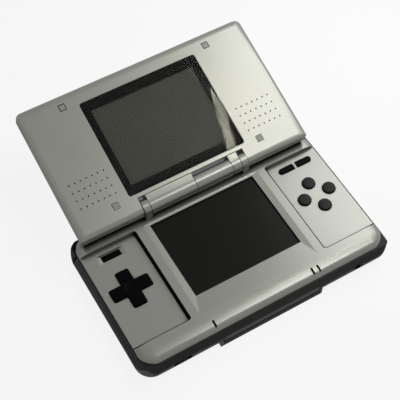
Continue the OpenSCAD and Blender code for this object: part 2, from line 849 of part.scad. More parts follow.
// Right half of the lid's cross-section: a long flat roll at the inner face, a small one
// at the widest line, a leaning side and a larger roll at the outer face
module lid_side(half) {
    small_r = 1.1;
    long_r = 6.55;
    roll_w = 4.1;       // width of the long roll
    meet = 3.6;         // where the two inner rolls meet
    lean = 15;
    outer_roll = 4.5;
    small = [half - small_r, -lid_edge_depth];
    reach = small * [cos(lean), -sin(lean)] + small_r - outer_roll;
    outer_z = -lid_t + outer_roll;
    outer = [(reach + sin(lean) * outer_z) / cos(lean), outer_z];
    normal = [cos(lean), -sin(lean)];
    polygon([[-1, 0], [half - roll_w, 0], [half - roll_w + meet, -lid_edge_depth],
        small + small_r * normal, outer + outer_roll * normal, [outer[0], -lid_t], [-1, -lid_t]]);
    intersection() {
        translate([half - roll_w, -long_r]) circle(r = long_r);
        translate([half - roll_w - 1, -lid_edge_depth - 1])
            square([meet + 1, lid_edge_depth + 1]);
    }
    translate(small) circle(r = small_r);
    translate(outer) circle(r = outer_roll);
}

// Solid form of the lid, with its back edge round about the hinge axis
module lid_form() {
    intersection() {
        // plan, with small corners at the hinge and larger ones at the far edge
        translate([0, 0, -lid_t]) linear_extrude(lid_t) {
            translate([0, (lid_reach - axis_depth) / 2]) {
                translate([0, 6]) round_rect(lid_w, lid_reach + axis_depth - 12, 5);
                translate([0, -10]) round_rect(lid_w, lid_reach + axis_depth - 20, 2.5);
            }
        }
        along_x(far) {
            intersection() {
                lid_side(lid_reach);
                polygon([[-0.5, 0], [far, 0], [far, -lid_t], [8.5, -lid_t], [4.4, -9.7],
                    [0, -2 * axis_depth], [-0.5, -2 * axis_depth]]);
            }
            translate([0, -axis_depth]) circle(r = axis_depth);
        }
        along_y(far) {
            lid_side(lid_w / 2);
            mirror([1, 0]) lid_side(lid_w / 2);
        }
    }
}

module lid_notch() {
    block([-notch_x, -far, -far], [notch_x, 5.67, far]);
}

module lid_screw_places() {
    for (sx = [-1, 1], y = lid_pad_y) translate([sx * lid_pad_x, y, 0]) children();
}

module lid_outer_shell() {
    color(silver) on_lid() difference() {
        union() {
            difference() {
                lid_form();
                block([-far, -far, -inner_t], [far, far, far]);
                lid_notch();
                block([-66.3, 9.2, -lid_t + 1.6], [66.3, 71.2, 0]);
            }
            lid_screw_places()
                translate([0, 0, 1 - lid_t]) cylinder(r = 2.6, h = lid_t - inner_t - 1);
        }
        lid_screw_places() translate([0, 0, -8]) cylinder(r = screw_r + 0.02, h = 10);
    }
}

module speaker() {
    color("#2c2c30") on_lid() translate([speaker_at[0], speaker_at[1], -5.2]) {
        cylinder(r = 9, h = 1.8);
        translate([0, 0, 1.8]) cylinder(r = 10.6, h = 1.4);
        translate([0, 0, -1]) cylinder(r = 5, h = 1);
    }
}

module speaker_right() { speaker(); }
module speaker_left() { mirror([1, 0, 0]) speaker(); }

upper_lcd_y = (window_y0 + window_y1) / 2;
mask_z = -1.3;

module upper_lcd_tray() {
    color(steel) on_lid() difference() {
        block([-lcd_x - 0.7, upper_lcd_y - 26.2, -5.4], [lcd_x + 0.7, upper_lcd_y + 26.2, -2.2]);
        block([-lcd_x - fit, upper_lcd_y - 25.6, -4.9], [lcd_x + fit, upper_lcd_y + 25.6, far]);
    }
}

module upper_lcd() {
    color("#3c3d36") on_lid()
        block([-lcd_x, upper_lcd_y - 25.5, -4.88], [lcd_x, upper_lcd_y + 25.5, -1.95]);
}

// Flat cable from the display, rolled up inside the left knuckle
module display_ribbon() {
    color("#b5762a") on_lid() {
        difference() {
            rod_x(-15, -9, 2.75, 0, -axis_depth);
            rod_x(-16, -8, 2.5, 0, -axis_depth);
        }
        block([-15, 2.6, -axis_depth + 0.04], [-9, 8.9, -axis_depth + 0.28]);
    }
}

module lid_inner_cover() {
    color(silver) on_lid() difference() {
        union() {
            difference() {
                lid_form();
                block([-far, -far, -far], [far, far, -inner_t + 0.02]);
                lid_notch();
                difference() {
                    block([-66.3, 8, -far], [66.3, 71.2, -1.9]);
                    lid_screw_places() translate([0, 0, -inner_t]) cylinder(r = 2.6, h = inner_t);
                }
            }
            knuckle(left_knuckle);
            knuckle(right_knuckle);
        }
        // stepped window opening
        translate([0, (window_y0 + window_y1) / 2, mask_z])
            linear_extrude(far) round_rect(2 * window_x + fit, window_y1 - window_y0 + fit, 1.6);
        block([-33.9, 8.9, -far], [33.9, 63.9, far]);
        // speaker grilles
        for (sx = [-1, 1], i = [0:grille_cols - 1], j = [0:grille_rows - 1])
            translate([sx * (grille_x + grille_dx * i), grille_y + grille_dy * j, -5])
                cylinder(r = grille_hole_r, h = 10);
        // pads and the screws under them
        lid_screw_places() {
            translate([0, 0, -0.9]) linear_extrude(far) square(pad_w + 0.4, center = true);
            translate([0, 0, -2.1]) cylinder(r = 1.65, h = 3);
            translate([0, 0, -far]) cylinder(r = screw_r + 0.1, h = far);
        }
        rod_x(-far, far, hinge_bore_r, 0, -axis_depth);
        // room for the rolled ribbon and its way out
        rod_x(-15.5, -8.5, 2.9, 0, -axis_depth);
        block([-15.5, 0, -axis_depth - 0.4], [-8.5, 9.2, -axis_depth + 0.4]);
    }
}

// A lid knuckle with its flat top and the web that carries it
module knuckle(x) {
    difference() {
        union() {
            rod_x(x[0], x[1], barrel_r, 0, -axis_depth);
            block([x[0], 0, -7], [x[1], 5.62, flat_h]);
            block([x[0], 5, -inner_t + 0.02], [x[1], 7.5, -1.2]);
        }
        block([x[0] - 1, flat_y, -1.2], [x[1] + 1, 5.67, far]);
    }
}

module window_mask() {
    color(black) on_lid() translate([0, (window_y0 + window_y1) / 2, mask_z])
        linear_extrude(0.28) difference() {
            round_rect(2 * window_x, window_y1 - window_y0, 1.5);
            square([picture_w, picture_h], center = true);
        }
}

module upper_window() {
    color("#101010", 0.5) on_lid() translate([0, (window_y0 + window_y1) / 2, mask_z + 0.3])
        linear_extrude(0.85) round_rect(2 * window_x, window_y1 - window_y0, 1.5);
}

module lid_screws() {
    color(steel) on_lid() lid_screw_places() {
        translate([0, 0, -2.05]) cylinder(r = 1.6, h = 1);
        translate([0, 0, -7.5]) cylinder(r = screw_r, h = 6);
    }
}

module lid_pads() {
    color("#8f908a") on_lid() lid_screw_places()
        translate([0, 0, -0.88]) linear_extrude(0.9) square(pad_w, center = true);
}

lower_case();
rubber_feet();
battery_cover();
battery_cover_screw();
battery();
case_screws();
cartridge_guide();
slot_cover();
card_cage();
main_board();
headphone_jack();
charge_port();
volume_slider();
power_switch();
dpad_membrane();
face_membrane();
option_membrane();
lower_lcd_tray();
lower_lcd();
touch_panel();
top_cover();
microphone();
light_pipes();
dpad_post();
dpad();
face_button_back();
face_button_right();
face_button_front();
face_button_left();
select_button();
start_button();
power_button();
shoulder_pin_left();
shoulder_pin_right();
shoulder_button_left();
shoulder_button_right();
stylus();
hinge_sleeve();
hinge_pin_left();
hinge_pin_right();
lid_outer_shell();
speaker_left();
speaker_right();
upper_lcd_tray();
upper_lcd();
display_ribbon();
lid_inner_cover();
window_mask();
upper_window();
lid_screws();
lid_pads();
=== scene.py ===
from math import cos, pi, radians, sin

import bmesh
import bpy
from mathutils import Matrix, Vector


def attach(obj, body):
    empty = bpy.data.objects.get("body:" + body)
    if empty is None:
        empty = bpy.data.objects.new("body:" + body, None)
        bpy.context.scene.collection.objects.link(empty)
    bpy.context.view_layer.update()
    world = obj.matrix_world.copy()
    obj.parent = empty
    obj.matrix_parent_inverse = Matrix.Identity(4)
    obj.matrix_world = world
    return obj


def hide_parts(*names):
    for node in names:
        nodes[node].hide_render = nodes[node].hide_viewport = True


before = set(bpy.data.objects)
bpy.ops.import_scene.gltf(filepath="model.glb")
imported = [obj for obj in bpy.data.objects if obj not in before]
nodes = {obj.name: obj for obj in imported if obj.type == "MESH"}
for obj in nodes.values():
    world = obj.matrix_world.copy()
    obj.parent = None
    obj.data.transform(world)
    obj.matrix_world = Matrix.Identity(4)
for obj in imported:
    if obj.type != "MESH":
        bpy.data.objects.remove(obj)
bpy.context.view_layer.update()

scene = bpy.context.scene

# ---- camera ----
# A long lens, above and a little to the left of the player's side.

camera_data = bpy.data.cameras.new("camera")
camera_data.lens = 91.464
camera_data.sensor_width = 36
camera = bpy.data.objects.new("camera", camera_data)
scene.collection.objects.link(camera)
camera.location = (-0.15231, -0.21889, 0.46600)
camera.rotation_euler = [radians(a) for a in (32.886, -0.654, -30.409)]
scene.camera = camera

# ---- studio ----
# A pale table in a dim room, lit by a ceiling lamp and from the right by a window and a side
# lamp, with a narrow gap between two curtains further off.

scene.view_settings.view_transform = "Standard"


def links(tree, *pairs):
    """Joins (from node, output) to (to node, input) for each pair."""
    for source, out, target, into in pairs:
        tree.links.new(source.outputs[out], target.inputs[into])


def math_node(tree, operation, first=None, second=None):
    """A sum, product or the like, with the values of its unlinked sockets."""
    made = tree.nodes.new("ShaderNodeMath")
    made.operation = operation
    for socket, value in zip(made.inputs, (first, second)):
        if value is not None:
            socket.default_value = value
    return made


def shown_ray(tree):
    """1 for rays that see the backdrop itself, 0 for those that only carry its light."""
    path = tree.nodes.new("ShaderNodeLightPath")
    first = math_node(tree, "MAXIMUM")
    second = math_node(tree, "MAXIMUM")
    links(tree, (path, "Is Camera Ray", first, 0), (path, "Is Glossy Ray", first, 1),
          (first, 0, second, 0), (path, "Is Transmission Ray", second, 1))
    return second


world = bpy.data.worlds.new("room")
scene.world = world
world.use_nodes = True
tree = world.node_tree
room = tree.nodes["Background"]
room.inputs["Color"].default_value = (1, 1, 1, 1)
room.inputs["Strength"].default_value = 0.04
white = tree.nodes.new("ShaderNodeBackground")
white.inputs["Color"].default_value = (1, 1, 1, 1)
white.inputs["Strength"].default_value = 1
mixed = tree.nodes.new("ShaderNodeMixShader")
links(tree, (shown_ray(tree), 0, mixed, 0), (room, 0, mixed, 1), (white, 0, mixed, 2),
      (mixed, 0, tree.nodes["World Output"], "Surface"))

bpy.ops.mesh.primitive_plane_add(size=6)
table = bpy.context.object
table.name = "table_top"
table_paint = bpy.data.materials.new("table_paint")
table_paint.use_nodes = True
tree = table_paint.node_tree
matt = tree.nodes["Principled BSDF"]
matt.inputs["Base Color"].default_value = (0.9, 0.9, 0.9, 1)
matt.inputs["Roughness"].default_value = 0.9
matt.inputs["Specular IOR Level"].default_value = 0
glow = tree.nodes.new("ShaderNodeEmission")
glow.inputs["Strength"].default_value = 1
# a little less than white, so that the console's shadow stays on the table
share = math_node(tree, "MULTIPLY", None, 0.88)
mixed = tree.nodes.new("ShaderNodeMixShader")
links(tree, (shown_ray(tree), 0, share, 0), (share, 0, mixed, 0), (matt, 0, mixed, 1),
      (glow, 0, mixed, 2), (mixed, 0, tree.nodes["Material Output"], "Surface"))
table.data.materials.append(table_paint)


console_middle = Vector((0, 0.03, 0.02))


def lamp(name, azimuth, elevation, distance, size, power):
    """A square lamp that faces the middle of the console."""
    out = Vector((cos(radians(azimuth)) * cos(radians(elevation)),
                  sin(radians(azimuth)) * cos(radians(elevation)), sin(radians(elevation))))
    data = bpy.data.lights.new(name, "AREA")
    data.shape = "SQUARE"
    data.size = size
    data.energy = power
    made = bpy.data.objects.new(name, data)
    scene.collection.objects.link(made)
    made.location = console_middle + out * distance
    made.rotation_euler = (-out).to_track_quat("-Z", "Y").to_euler()


lamp("window", 15, 58, 0.8, 0.3, 0.40)
lamp("side_lamp", 15, 42, 0.26, 0.15, 0.25)
lamp("ceiling", -30, 66, 0.8, 0.2, 1.15)
# the gap between two curtains, which the upper window mirrors
slit = bpy.data.lights.new("curtain_gap", "AREA")
slit.shape = "RECTANGLE"
slit.size = 0.078
slit.size_y = 0.0100
slit.energy = 0.16
slit.color = (1.0, 0.95, 0.80)
gap = bpy.data.objects.new("curtain_gap", slit)
scene.collection.objects.link(gap)
gap.location = (0.2320, 0.050, 0.598)
window_corner = Vector((0.030, 0.060, 0.032))
gap.rotation_euler = (window_corner - gap.location).to_track_quat("-Z", "Y").to_euler()
gap.rotation_euler.rotate_axis("Z", radians(-5))

# ---- lower case ----
# The dark tray that everything is built into: moulded ABS in charcoal with a fine spark-eroded
# grain, its edges eased by the mould. The room for the front slot stands out as a step below.


def node_group(name, inputs, outputs):
    """An empty shader group with its sockets made, and the nodes at its two ends."""
    group = bpy.data.node_groups.new(name, "ShaderNodeTree")
    for label, kind, value in inputs:
        socket = group.interface.new_socket(label, in_out="INPUT", socket_type=kind)
        if value is not None:
            socket.default_value = value
    for label, kind in outputs:
        group.interface.new_socket(label, in_out="OUTPUT", socket_type=kind)
    return group, group.nodes.new("NodeGroupInput"), group.nodes.new("NodeGroupOutput")


# Moulded or sprayed grain: fine bumps, and a slow drift of shade and gloss over the piece,
# with the edges that hands and tables rub a little brighter, and painted shade darkening
# the crevices, where ambient occlusion finds the surface shut in
grain_and_shade, ends_in, ends_out = node_group("surface_grain_and_crevice_shade", [
    ("Color", "NodeSocketColor", None), ("Edge Color", "NodeSocketColor", None),
    ("Wear", "NodeSocketFloat", 0.3), ("Drift", "NodeSocketFloat", 0.05),
    ("Roughness", "NodeSocketFloat", 0.4), ("Scale", "NodeSocketFloat", 4000.0),
    ("Height", "NodeSocketFloat", 0.05), ("Crevice Shade", "NodeSocketFloat", 0.2)],
    [("Color", "NodeSocketColor"), ("Roughness", "NodeSocketFloat"),
     ("Normal", "NodeSocketVector")])
place = grain_and_shade.nodes.new("ShaderNodeTexCoord")
fine = grain_and_shade.nodes.new("ShaderNodeTexNoise")
fine.inputs["Detail"].default_value = 3
slow = grain_and_shade.nodes.new("ShaderNodeTexNoise")
slow.inputs["Scale"].default_value = 45
slow.inputs["Detail"].default_value = 4
spread = grain_and_shade.nodes.new("ShaderNodeMapRange")
spread.inputs["To Min"].default_value = -1
spread.inputs["To Max"].default_value = 1
amount = math_node(grain_and_shade, "MULTIPLY")
level = math_node(grain_and_shade, "ADD", None, 1)
shade = grain_and_shade.nodes.new("ShaderNodeVectorMath")
shade.operation = "SCALE"
gloss = math_node(grain_and_shade, "MULTIPLY")
bump = grain_and_shade.nodes.new("ShaderNodeBump")
bump.inputs["Distance"].default_value = 0.00004
flat = grain_and_shade.nodes.new("ShaderNodeNewGeometry")
eased = grain_and_shade.nodes.new("ShaderNodeBevel")
eased.inputs["Radius"].default_value = 0.00035
likeness = grain_and_shade.nodes.new("ShaderNodeVectorMath")
likeness.operation = "DOT_PRODUCT"
edge = grain_and_shade.nodes.new("ShaderNodeMapRange")
edge.inputs["From Min"].default_value = 0.995
edge.inputs["From Max"].default_value = 0.85
patchy = math_node(grain_and_shade, "MULTIPLY")
rubbed = math_node(grain_and_shade, "MULTIPLY")
worn = grain_and_shade.nodes.new("ShaderNodeMix")
worn.data_type = "RGBA"
# painted shade: the colour is darkened where ambient occlusion finds the surface shut in
open_sky = grain_and_shade.nodes.new("ShaderNodeAmbientOcclusion")
open_sky.samples = 8
open_sky.inputs["Distance"].default_value = 0.004
crevice_shade_mask = grain_and_shade.nodes.new("ShaderNodeMapRange")
crevice_shade_mask.inputs["From Min"].default_value = 0.85
crevice_shade_mask.inputs["From Max"].default_value = 0.40
crevice_shade_amount = math_node(grain_and_shade, "MULTIPLY")
unshaded_share = math_node(grain_and_shade, "SUBTRACT", 1)
crevice_shaded_color = grain_and_shade.nodes.new("ShaderNodeVectorMath")
crevice_shaded_color.operation = "SCALE"
links(grain_and_shade, (place, "Object", fine, "Vector"), (place, "Object", slow, "Vector"),
      (ends_in, "Scale", fine, "Scale"), (slow, 0, spread, "Value"),
      (spread, 0, amount, 0), (ends_in, "Drift", amount, 1), (amount, 0, level, 0),
      (ends_in, "Color", shade, 0), (level, 0, shade, "Scale"),
      (ends_in, "Roughness", gloss, 0), (level, 0, gloss, 1),
      (fine, 0, bump, "Height"), (ends_in, "Height", bump, "Strength"),
      (flat, "Normal", likeness, 0), (eased, 0, likeness, 1), (likeness, "Value", edge, "Value"),
      (edge, 0, patchy, 0), (slow, 0, patchy, 1), (patchy, 0, rubbed, 0),
      (ends_in, "Wear", rubbed, 1), (rubbed, 0, worn, "Factor"),
      (shade, 0, worn, "A"), (ends_in, "Edge Color", worn, "B"),
      (open_sky, "AO", crevice_shade_mask, "Value"), (crevice_shade_mask, 0, crevice_shade_amount, 0),
      (ends_in, "Crevice Shade", crevice_shade_amount, 1), (crevice_shade_amount, 0, unshaded_share, 1),
      (worn, "Result", crevice_shaded_color, 0), (unshaded_share, 0, crevice_shaded_color, "Scale"),
      (crevice_shaded_color, 0, ends_out, "Color"), (gloss, 0, ends_out, "Roughness"),
      (bump, 0, ends_out, "Normal"))


def finish(name, color, roughness, scale=4000, height=0.05, drift=0.05, edge_color=None,
           wear=0.4, crevice_shade=0.2, **constants):
    """A Principled material over the surface grain and its painted crevice shade, its constants set
    on the shader itself.
    """
    material = bpy.data.materials.new(name)
    material.use_nodes = True
    tree = material.node_tree
    shader = tree.nodes["Principled BSDF"]
    surface = tree.nodes.new("ShaderNodeGroup")
    surface.name = "surface"
    surface.node_tree = grain_and_shade
    surface.inputs["Color"].default_value = (*color, 1)
    surface.inputs["Edge Color"].default_value = (*(edge_color or [c * 1.6 for c in color]), 1)
    for label, value in (("Wear", wear), ("Drift", drift), ("Roughness", roughness),
                         ("Scale", scale), ("Height", height), ("Crevice Shade", crevice_shade)):
        surface.inputs[label].default_value = value
    links(tree, (surface, "Color", shader, "Base Color"),
          (surface, "Roughness", shader, "Roughness"), (surface, "Normal", shader, "Normal"))
    for label, value in constants.items():
        shader.inputs[label.replace("_", " ")].default_value = value
    return material


def only(piece):
    """Selects one object and nothing else."""
    for other in list(bpy.context.selected_objects):
        other.select_set(False)
    piece.select_set(True)
    bpy.context.view_layer.objects.active = piece


def paint(material, *names):
    """Gives CAD nodes that keep their shape their real finish."""
    for name in names:
        for socket in nodes[name].material_slots:
            socket.material = material


def dressed(piece, body, slot, material, *stands_for):
    """Fixes a finished piece to its body, and gives it its finish."""
    piece.data.materials.clear()
    piece.data.materials.append(material)
    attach(piece, body)
    if stands_for:
        paint(material, *stands_for)
        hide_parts(*stands_for)


def copied(node, name):
    """The moulding's shape as one welded mesh of large faces."""
    piece = bpy.data.objects.new(name, nodes[node].data.copy())
    scene.collection.objects.link(piece)
    only(piece)
    bpy.ops.object.mode_set(mode="EDIT")
    bpy.ops.mesh.select_all(action="SELECT")
    bpy.ops.mesh.remove_doubles(threshold=1e-6)
    bpy.ops.mesh.dissolve_limited(angle_limit=radians(0.4))
    bpy.ops.object.mode_set(mode="OBJECT")
    return piece


def shaded(piece):
    """Shades rounds smooth and keeps the large faces truly flat."""
    only(piece)
    bpy.ops.object.shade_smooth_by_angle(angle=radians(35))
    weighted = piece.modifiers.new("flat_faces", "WEIGHTED_NORMAL")
    weighted.keep_sharp = True
    weighted.weight = 100
    bpy.ops.object.modifier_apply(modifier="flat_faces")
    return piece


def softened(piece, width, segments=2, shortest=0.0004, inside=None):
    """Eases the long sharp edges, as a mould does, and shades the rest smooth."""
    only(piece)
    bpy.ops.object.mode_set(mode="EDIT")
    bpy.ops.mesh.select_mode(type="EDGE")
    bpy.ops.mesh.select_all(action="DESELECT")
    bpy.ops.mesh.edges_select_sharp(sharpness=radians(32))
    shape = bmesh.from_edit_mesh(piece.data)
    for line in shape.edges:
        middle = (line.verts[0].co + line.verts[1].co) / 2
        if line.select and (line.calc_length() < shortest or (inside and not inside(middle))):
            line.select = False
    shape.select_flush_mode()
    bmesh.update_edit_mesh(piece.data)
    bpy.ops.mesh.bevel(offset=width, segments=segments, affect="EDGES", clamp_overlap=True)
    bpy.ops.object.mode_set(mode="OBJECT")
    return shaded(piece)


charcoal = finish("charcoal_abs", (0.013, 0.013, 0.0135), 0.46, 6000, 0.35, 0.08,
                  (0.040, 0.040, 0.041), Specular_IOR_Level=0.14)
dressed(softened(copied("lower_case", "lower_case_moulding"), 0.0003), "base",
        "charcoal_plastic", charcoal, "lower_case")

# ---- feet ----
# Four round feet cut from sheet rubber and glued into seats at the corners of the underside.

rubber = finish("foot_rubber", (0.016, 0.016, 0.016), 0.75, 3500, 0.5, 0.1,
                Specular_IOR_Level=0.2)
dressed(softened(copied("rubber_feet", "feet"), 0.0003, 3), "base", "black_rubber", rubber,
        "rubber_feet")

# ---- battery, its cover and the screws ----
# A flat lithium cell in a shrink sleeve, under a cover held by one screw through its tongue.
# The case halves are held by four more cross-head screws from below.

sleeve = finish("cell_sleeve", (0.11, 0.11, 0.115), 0.45, 1500, 0.1, 0.06,
                Specular_IOR_Level=0.4)
zinc = finish("zinc_plated_steel", (0.52, 0.52, 0.50), 0.34, 5000, 0.2, 0.08,
              (0.72, 0.72, 0.7), Metallic=0.9)
paint(sleeve, "battery")
dressed(softened(copied("battery_cover", "battery_door"), 0.0002), "base",
        "charcoal_plastic", charcoal, "battery_cover")


def cross_head_screw(name, x, y, z, radius, head, shank, length):
    """A pan head with a rounded rim and a cross recess, over a plain shank; it points up."""
    bpy.ops.mesh.primitive_cylinder_add(vertices=40, radius=radius, depth=head,
                                        location=(x, y, z + head / 2))
    screw = bpy.context.object
    screw.name = name
    only(screw)
    bpy.ops.object.transform_apply(location=True, rotation=True, scale=True)
    bpy.ops.object.mode_set(mode="EDIT")
    bpy.ops.mesh.select_mode(type="FACE")
    bpy.ops.mesh.select_all(action="DESELECT")
    shape = bmesh.from_edit_mesh(screw.data)
    for face in shape.faces:
        face.select = face.normal.z > 0.9
    bmesh.update_edit_mesh(screw.data)
    bpy.ops.mesh.inset(thickness=radius - shank)
    bpy.ops.mesh.extrude_region_move(TRANSFORM_OT_translate={"value": (0, 0, length)})
    bpy.ops.mesh.select_all(action="DESELECT")
    shape = bmesh.from_edit_mesh(screw.data)
    for face in shape.faces:
        face.select = face.normal.z < -0.9
    bmesh.update_edit_mesh(screw.data)
    bpy.ops.mesh.bevel(offset=head * 0.45, segments=3, affect="EDGES")
    bpy.ops.object.mode_set(mode="OBJECT")
    for turn in (0, pi / 2):
        bpy.ops.mesh.primitive_cube_add(size=1, location=(x, y, z), rotation=(0, 0, turn))
        blade = bpy.context.object
        blade.scale = (radius * 1.15, radius * 0.26, head * 1.1)
        cut = screw.modifiers.new("cross", "BOOLEAN")
        cut.object = blade
        cut.solver = "EXACT"
        only(screw)
        bpy.ops.object.modifier_apply(modifier="cross")
        bpy.data.objects.remove(blade)
    return shaded(screw)


def joined(name, pieces):
    """Several loose pieces of one kind as one mesh."""
    only(pieces[0])
    for other in pieces:
        other.select_set(True)
    bpy.ops.object.join()
    bpy.context.object.name = name
    return bpy.context.object


shank_radius = 0.00095
case_screws = [cross_head_screw("case_screw", x, y, 0.00115, 0.0019, 0.00084, shank_radius, 0.008)
               for x, y in ((-0.066, -0.0345), (0.066, -0.0345), (-0.066, 0.0296), (0.066, 0.0296))]
dressed(joined("case_screw_set", case_screws), "base", "screw_steel", zinc, "case_screws")
battery_screw = cross_head_screw("battery_screw", 0.0471, 0.0288, 0.0005, 0.0018, 0.00048,
                                 shank_radius, 0.0033)
dressed(battery_screw, "base", "screw_steel", zinc, "battery_cover_screw")

# ---- front slot ----
# A bent guide carries the sprung contacts, and a hollow blank cartridge keeps the dust out. Its
# front edge has a groove for a fingernail.

socket = finish("socket_nylon", (0.008, 0.008, 0.009), 0.5, 3000, 0.15, 0.08,
                Specular_IOR_Level=0.12)
paint(socket, "cartridge_guide")
dressed(softened(copied("slot_cover", "dust_cartridge"), 0.0002), "blank_cartridge",
        "charcoal_plastic", charcoal, "slot_cover")

# ---- card slot at the back ----
# A folded cage of bright sheet steel that a small game card slides into.

sheet_steel = finish("bright_sheet_steel", (0.60, 0.60, 0.59), 0.30, 2500, 0.15, 0.10,
                     Metallic=1.0)
paint(sheet_steel, "card_cage")

# ---- circuit board ----
# Green glass-epoxy laminate under solder mask, with its chips and shields soldered below and a
# few small parts above.

laminate = finish("solder_mask", (0.012, 0.085, 0.040), 0.32, 1200, 0.25, 0.25,
                  Specular_IOR_Level=0.5)
tree = laminate.node_tree
surface = tree.nodes["surface"]
place = tree.nodes.new("ShaderNodeTexCoord")
tracks = tree.nodes.new("ShaderNodeTexBrick")
tracks.inputs["Scale"].default_value = 350
tracks.inputs["Color1"].default_value = (0.012, 0.085, 0.040, 1)
tracks.inputs["Color2"].default_value = (0.015, 0.110, 0.050, 1)
tracks.inputs["Mortar"].default_value = (0.030, 0.170, 0.080, 1)
tracks.inputs["Mortar Size"].default_value = 0.03
links(tree, (place, "Object", tracks, "Vector"), (tracks, "Color", surface, "Color"))
paint(laminate, "main_board")

# ---- headphone jack, charging port, volume slider and power switch ----
# The jack and port are nylon bodies with metal contacts; the slider's thumb piece has three ribs.

paint(socket, "headphone_jack", "charge_port")
button_black = finish("button_black", (0.0018, 0.0017, 0.0022), 0.34, 3500, 0.08, 0.10,
                      (0.007, 0.007, 0.008), Specular_IOR_Level=0.025)
dressed(softened(copied("volume_slider", "volume_thumb"), 0.00015, shortest=0.0003), "volume",
        "button_plastic", button_black, "volume_slider")
paint(sheet_steel, "power_switch")

# ---- rubber sheets under the controls ----
# Grey silicone with a sprung dome under every button.

silicone = finish("grey_silicone", (0.26, 0.26, 0.25), 0.62, 2500, 0.1, 0.05,
                  Specular_IOR_Level=0.35)
paint(silicone, "dpad_membrane", "face_membrane", "option_membrane")

# ---- lower display and touch panel ----
# The display lies in a steel tray under the top cover. A satin touch film covers it, and a thin
# foam gasket fills the gap between the film and the cover's front edge.

paint(sheet_steel, "lower_lcd_tray", "upper_lcd_tray")
display = finish("dark_display", (0.030, 0.030, 0.025), 0.3, 9000, 0.02, 0.04,
                 crevice_shade=0, Specular_IOR_Level=0.05)
paint(display, "lower_lcd")
film = finish("touch_film", (0.0078, 0.0082, 0.0062), 0.24, 6000, 0.03, 0.12,
              crevice_shade=0, Specular_IOR_Level=0.08)
paint(film, "touch_panel")

foam = finish("gasket_foam", (0.22, 0.20, 0.13), 0.8, 3000, 0.6, 0.15, Specular_IOR_Level=0.1)
bpy.ops.mesh.primitive_cube_add(size=1, location=(0, -0.01855, 0.01516))
gasket = bpy.context.object
gasket.name = "film_gasket"
gasket.scale = (0.0622, 0.00034, 0.00020)
only(gasket)
bpy.ops.object.transform_apply(location=True, rotation=True, scale=True)
dressed(softened(gasket, 0.00005, 2), "base", "touch_film", foam)

# ---- top cover ----
# The silver face of the base: ABS sprayed with a fine aluminium-flake paint. The control panels
# are sunk, a bevel runs around the lower screen, and the hinge ears are part of the moulding.

# the silver is darkened strongly in its crevices (0.85), as painted shade
silver = finish("silver_paint", (0.295, 0.298, 0.268), 0.28, 9000, 0.06, 0.03,
                (0.42, 0.42, 0.40), 0.3, 0.85, Metallic=0.35, Specular_IOR_Level=0.4)
cover = softened(copied("top_cover", "top_cover_moulding"), 0.00018, 2)


def groove(piece, low, high):
    """Cuts a straight slot, given by its low and high corners, in millimetres."""
    bpy.ops.mesh.primitive_cube_add(size=1)
    block = bpy.context.object
    block.scale = [(b - a) / 1000 for a, b in zip(low, high)]
    block.location = [(a + b) / 2000 for a, b in zip(low, high)]
    only(piece)
    cut = piece.modifiers.new("slot", "BOOLEAN")
    cut.object = block
    cut.solver = "EXACT"
    bpy.ops.object.modifier_apply(modifier="slot")
    bpy.data.objects.remove(block)


def pick(piece, kind, test):
    """Selects the faces, edges or points of the piece being edited whose middle passes a test."""
    bpy.ops.mesh.select_mode(type={"faces": "FACE", "edges": "EDGE", "verts": "VERT"}[kind])
    bpy.ops.mesh.select_all(action="DESELECT")
    shape = bmesh.from_edit_mesh(piece.data)
    for part in getattr(shape, kind):
        if kind == "verts":
            part.select = bool(test(part.co, part))
        elif kind == "edges":
            part.select = bool(test((part.verts[0].co + part.verts[1].co) / 2, part))
        else:
            part.select = bool(test(part.calc_center_median(), part))
    shape.select_flush_mode()
    bmesh.update_edit_mesh(piece.data)


# fine parting lines where the separate panel plates meet the cover
for side in (-1, 1):
    ends = sorted((side * 40.2, side * 71.5))
    groove(cover, (ends[0], -27.75, 13.0), (ends[1], -27.1, 16))
groove(cover, (40.5, -27.75, 13.0), (40.95, 29.65, 16))
bevel_half, bevel_low = 0.0352, 0.0159
scoop_x, scoop_y, scoop_high = -0.0562, 0.02445, 0.0139


def crisp(c, edge):
    """The outlines of the shallow bevel around the screen and of the power button's scoop."""
    bevel = c.z > bevel_low and abs(c.x) < bevel_half
    scoop = c.z < scoop_high and abs(c.x - scoop_x) < 0.0076 and abs(c.y - scoop_y) < 0.0026
    return (bevel or scoop) and len(edge.link_faces) == 2 and edge.calc_face_angle(0) > radians(2) \
        and min(f.normal.z for f in edge.link_faces) > 0.8


only(cover)
bpy.ops.object.mode_set(mode="EDIT")
pick(cover, "edges", crisp)
bpy.ops.mesh.mark_sharp()
bpy.ops.object.mode_set(mode="OBJECT")
shaded(cover)
dressed(cover, "base", "silver_paint", silver, "top_cover")
# painted shade: the walls and floor of the narrow gaps along the raised middle get a near-black
# finish that stands in for the shadow there
gap_shade = finish("gap_painted_shade", (0.010, 0.010, 0.009), 0.6, 6000, 0.3, 0.1, Specular_IOR_Level=0.05)
cover.data.materials.append(gap_shade)
gap_x, gap_y, gap_z = (0.0391, 0.04052), (-0.0287, 0.0299), (0.0130, 0.0163)
for face in cover.data.polygons:
    c = face.center
    if gap_x[0] < abs(c.x) < gap_x[1] and gap_y[0] < c.y < gap_y[1] and gap_z[0] < c.z < gap_z[1]:
        face.material_index = 1

# ---- microphone and lamps ----
# A black microphone holder and two smoked light pipes stand in three short slots of the lip.

pipe = finish("smoked_pipe", (0.006, 0.008, 0.004), 0.18, 3000, 0.02, 0.05,
              Specular_IOR_Level=0.12)
paint(socket, "microphone")
dressed(softened(copied("light_pipes", "pipes"), 0.00012, 2), "base", "pipe_plastic", pipe,
        "light_pipes")

# ---- direction pad ----
# One black moulded cross with rounded arm ends, a small thumb dish in the middle and a flange
# that keeps it under the panel. It rocks on a round boss.

